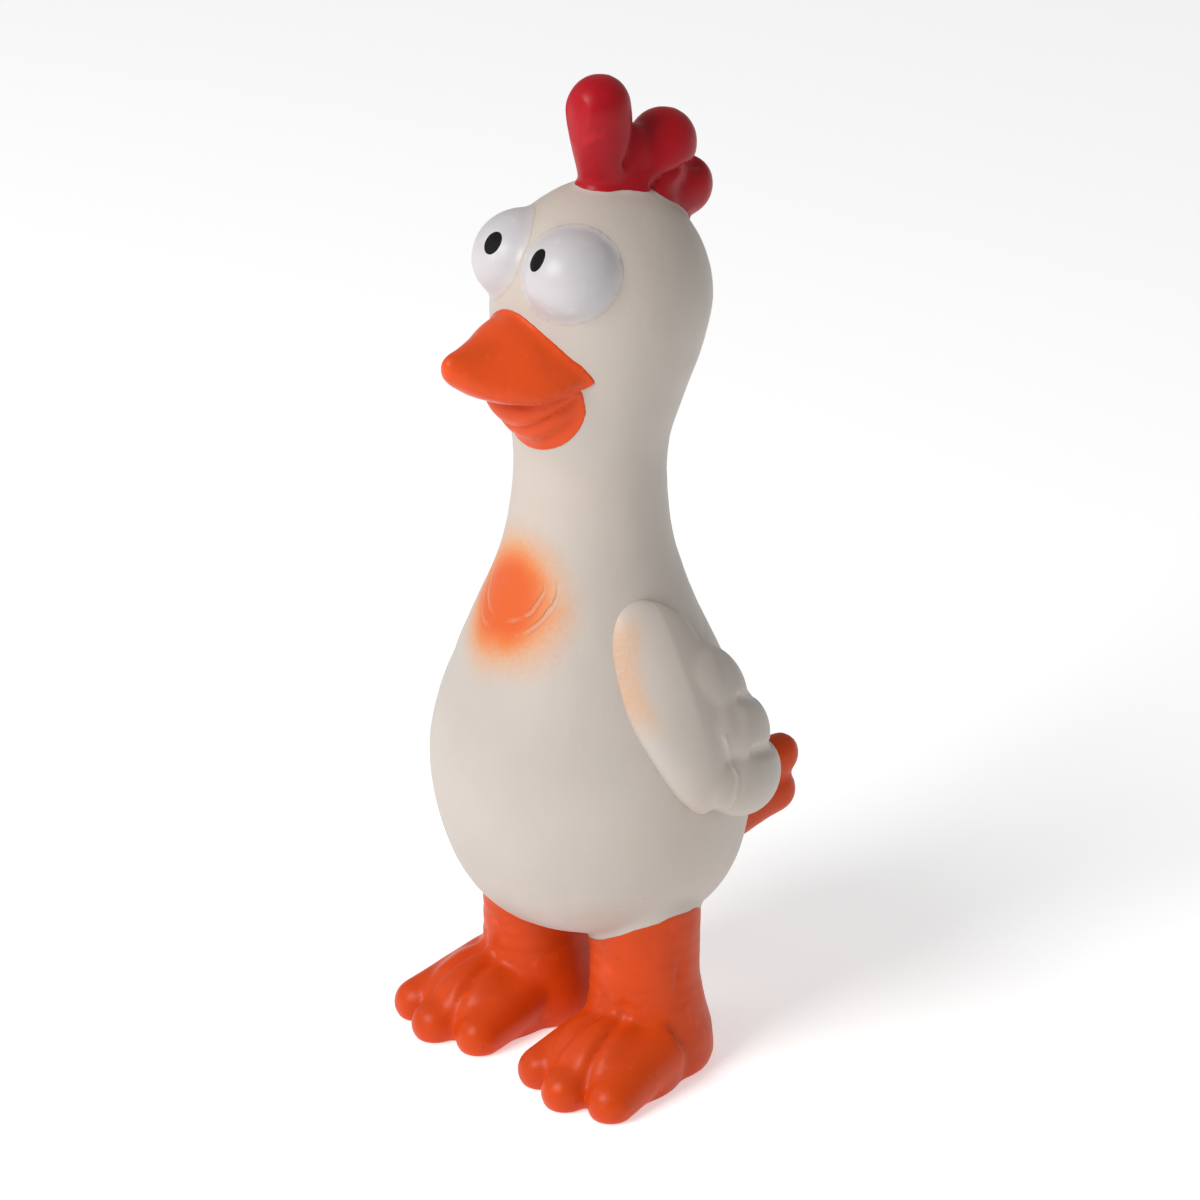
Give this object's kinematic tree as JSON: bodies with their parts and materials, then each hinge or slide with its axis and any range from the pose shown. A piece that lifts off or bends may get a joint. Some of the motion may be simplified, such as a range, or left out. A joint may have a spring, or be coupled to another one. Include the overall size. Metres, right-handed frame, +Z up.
{
  "type": "rubber chicken",
  "caption": "Standing squeaky rubber chicken: stuffed moulded skin with bulging eyes, beak, comb, wings, tail and legs that flex, and a reed squeaker in its underside.",
  "frame": {"origin": "on the surface it stands on, under the middle of the box round the whole chicken", "axes": "+Z up from the soles to the comb, -Y the way the beak points, +X its left side"},
  "size_m": [0.0872, 0.1098, 0.238],
  "materials": {
    "cream_latex": "satin moulded natural rubber, cream",
    "orange_tail_paint": "satin rubber paint, airbrushed to cream at the root",
    "orange_leg_paint": "satin rubber paint over moulded rubber",
    "orange_beak_paint": "satin rubber paint over moulded rubber",
    "white_eye_paint": "satin white rubber paint",
    "black_pupil_paint": "satin black rubber paint",
    "red_comb_paint": "satin red rubber paint over moulded rubber",
    "fibre_filling": "loose white polyester fibre",
    "squeaker_plastic": "moulded polyethylene",
    "reed_film": "thin stiff plastic film"
  },
  "bodies": {
    "torso": {"torso_skin": "cream_latex", "leg_left": "orange_leg_paint", "leg_right": "orange_leg_paint", "torso_filling": "fibre_filling", "squeaker_housing": "squeaker_plastic", "squeaker_reed_block": "squeaker_plastic", "squeaker_reed_clamp": "squeaker_plastic"},
    "belly": {"belly_panel": "cream_latex"},
    "neck": {"neck_skin": "cream_latex", "neck_filling": "fibre_filling"},
    "head": {"head_skin": "cream_latex", "head_filling": "fibre_filling", "eye_left": "white_eye_paint", "eye_right": "white_eye_paint", "pupil_left": "black_pupil_paint", "pupil_right": "black_pupil_paint", "lower_beak": "orange_beak_paint", "tongue": "orange_beak_paint"},
    "upper_beak": {"upper_beak": "orange_beak_paint"},
    "comb": {"comb": "red_comb_paint"},
    "wing_left": {"wing_left": "cream_latex"},
    "wing_right": {"wing_right": "cream_latex"},
    "tail": {"tail": "orange_tail_paint"},
    "reed": {"squeaker_reed": "reed_film"}
  },
  "joints": [
    {"name": "belly_press", "type": "slide", "parent": "torso", "child": "belly", "axis": [0, 1, 0], "range_m": [0, 0.01], "stiffness_N_per_m": 120, "deforming": ["torso_filling"]},
    {"name": "neck_bend", "type": "hinge", "parent": "torso", "child": "neck", "pos_m": [0, -0.0111, 0.1276], "axis": [1, 0, 0], "range_deg": [-20, 25], "stiffness_Nm_per_rad": 0.25},
    {"name": "head_lean", "type": "hinge", "parent": "neck", "child": "head", "pos_m": [0, -0.0111, 0.1496], "axis": [0, 1, 0], "range_deg": [-18, 18], "stiffness_Nm_per_rad": 0.2},
    {"name": "beak_flex", "type": "hinge", "parent": "head", "child": "upper_beak", "pos_m": [0, -0.0291, 0.187], "axis": [1, 0, 0], "range_deg": [-10, 4], "stiffness_Nm_per_rad": 0.05},
    {"name": "comb_flex", "type": "hinge", "parent": "head", "child": "comb", "pos_m": [0, 0.0039, 0.209], "axis": [0, 1, 0], "range_deg": [-12, 12], "stiffness_Nm_per_rad": 0.05},
    {"name": "wing_left_flex", "type": "hinge", "parent": "torso", "child": "wing_left", "pos_m": [0.027, -0.0273, 0.0956], "axis": [0.233, -0.141, -0.9622], "range_deg": [0, 14], "stiffness_Nm_per_rad": 0.08},
    {"name": "wing_right_flex", "type": "hinge", "parent": "torso", "child": "wing_right", "pos_m": [-0.027, -0.0273, 0.0956], "axis": [0.233, 0.141, 0.9622], "range_deg": [0, 14], "stiffness_Nm_per_rad": 0.08},
    {"name": "tail_flex", "type": "hinge", "parent": "torso", "child": "tail", "pos_m": [0, 0.0249, 0.0465], "axis": [1, 0, 0], "range_deg": [-12, 12], "stiffness_Nm_per_rad": 0.06},
    {"name": "reed_flutter", "type": "hinge", "parent": "torso", "child": "reed", "pos_m": [0, 0.0009, 0.0435], "axis": [1, 0, 0], "range_deg": [-1.5, 4], "stiffness_Nm_per_rad": 0.0002}
  ]
}
